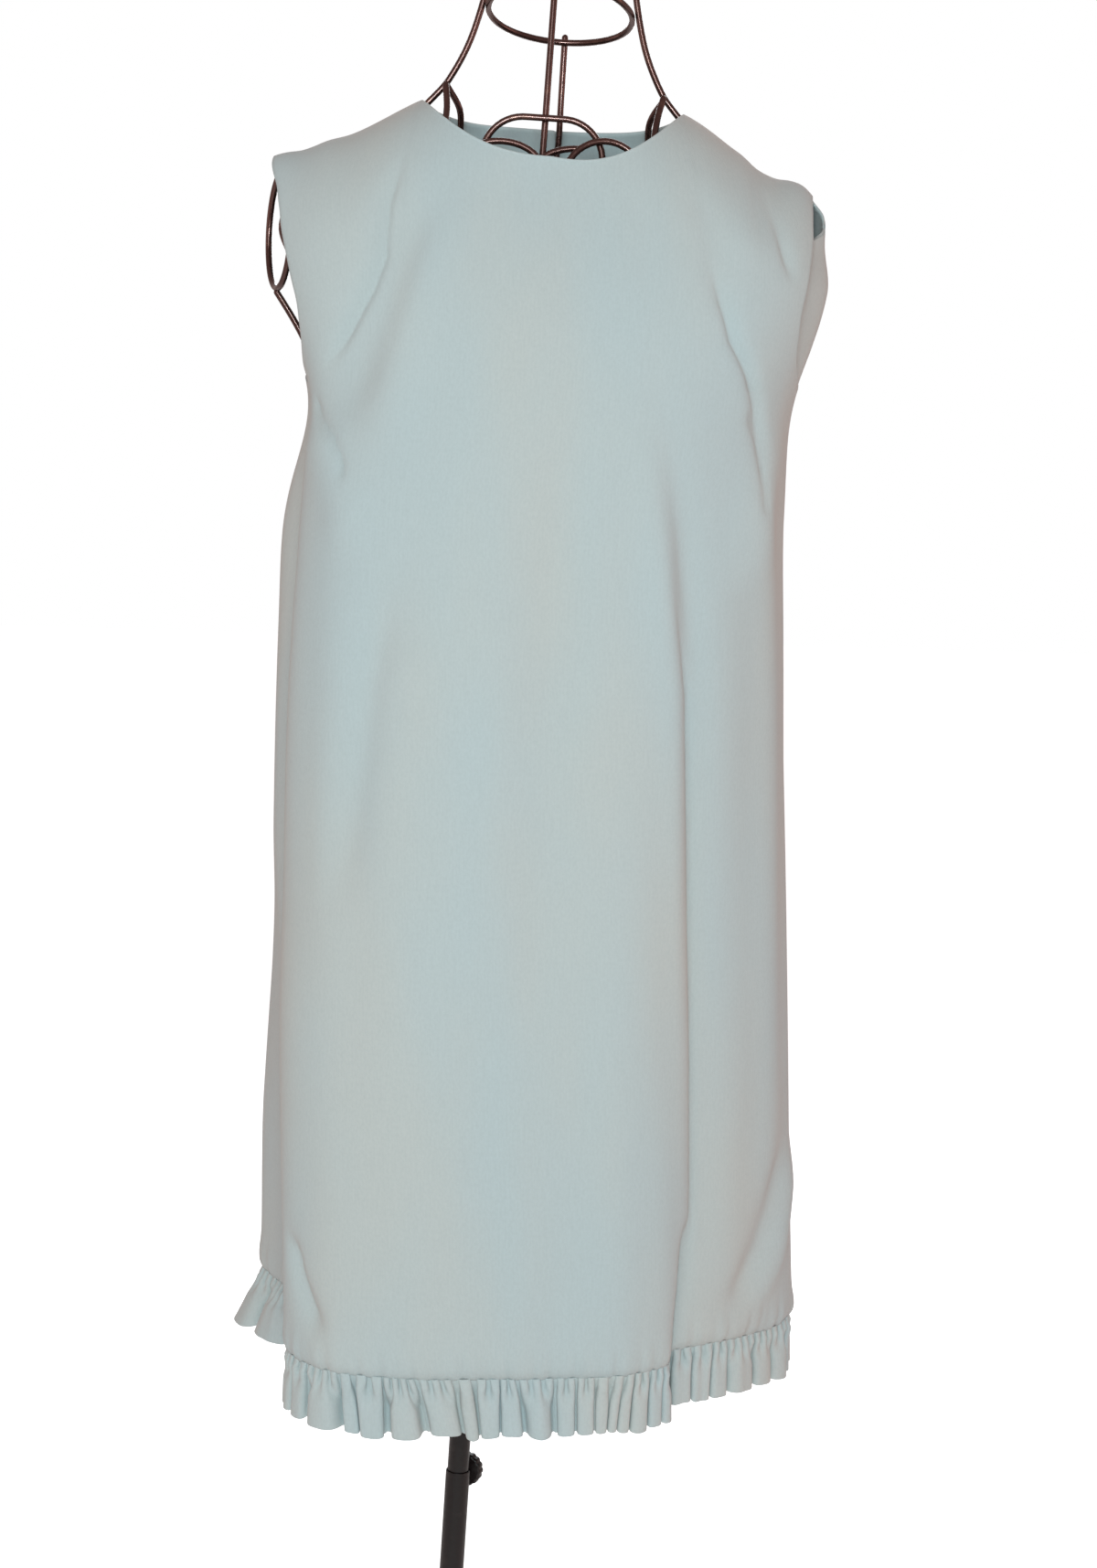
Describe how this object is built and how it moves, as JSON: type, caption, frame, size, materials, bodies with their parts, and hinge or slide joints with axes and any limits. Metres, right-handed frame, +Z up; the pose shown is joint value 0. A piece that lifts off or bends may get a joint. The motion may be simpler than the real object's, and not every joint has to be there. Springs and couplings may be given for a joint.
{
  "type": "wrap dress on wire dress form",
  "caption": "Sleeveless dress with a back lap and a gathered hem frill, hung on a limbless wire dress form on a pole and round base.",
  "frame": {"origin": "centre of the round base's underside, on the floor, under the foot of the pole", "axes": "+Z up, +X to the wearer's left, -Y the way the dress faces"},
  "size_m": [0.4131, 0.3053, 1.4947],
  "materials": {
    "crepe": "matt pale blue crepe",
    "wire": "dark bronze lacquer, satin",
    "pole": "black paint, satin",
    "knob": "black plastic"
  },
  "bodies": {
    "root": {"armhole_curl_left": "wire", "armhole_curl_right": "wire", "armhole_ring_left": "wire", "armhole_ring_right": "wire", "base": "pole", "button": "crepe", "dress_back_inner": "crepe", "dress_back_outer": "crepe", "dress_front": "crepe", "frill_back_inner": "crepe", "frill_back_outer": "crepe", "frill_front": "crepe", "knob": "knob", "neck_arch": "wire", "pole_lower": "pole", "pole_upper": "pole", "ring_bottom": "wire", "ring_bust": "wire", "ring_neck": "wire", "ring_top": "wire", "ring_waist": "wire", "scroll_centre": "wire", "scroll_left": "wire", "scroll_right": "wire", "socket_bottom": "wire", "socket_waist": "wire", "spoke_bottom_1": "wire", "spoke_bottom_2": "wire", "spoke_bottom_3": "wire", "spoke_bottom_4": "wire", "spoke_waist_1": "wire", "spoke_waist_2": "wire", "spoke_waist_3": "wire", "spoke_waist_4": "wire", "wire_back_centre": "wire", "wire_back_left": "wire", "wire_back_right": "wire", "wire_front_centre": "wire", "wire_front_left": "wire", "wire_front_right": "wire", "wire_shoulder_left": "wire", "wire_shoulder_right": "wire", "wire_side_left": "wire", "wire_side_right": "wire"}
  },
  "joints": []
}
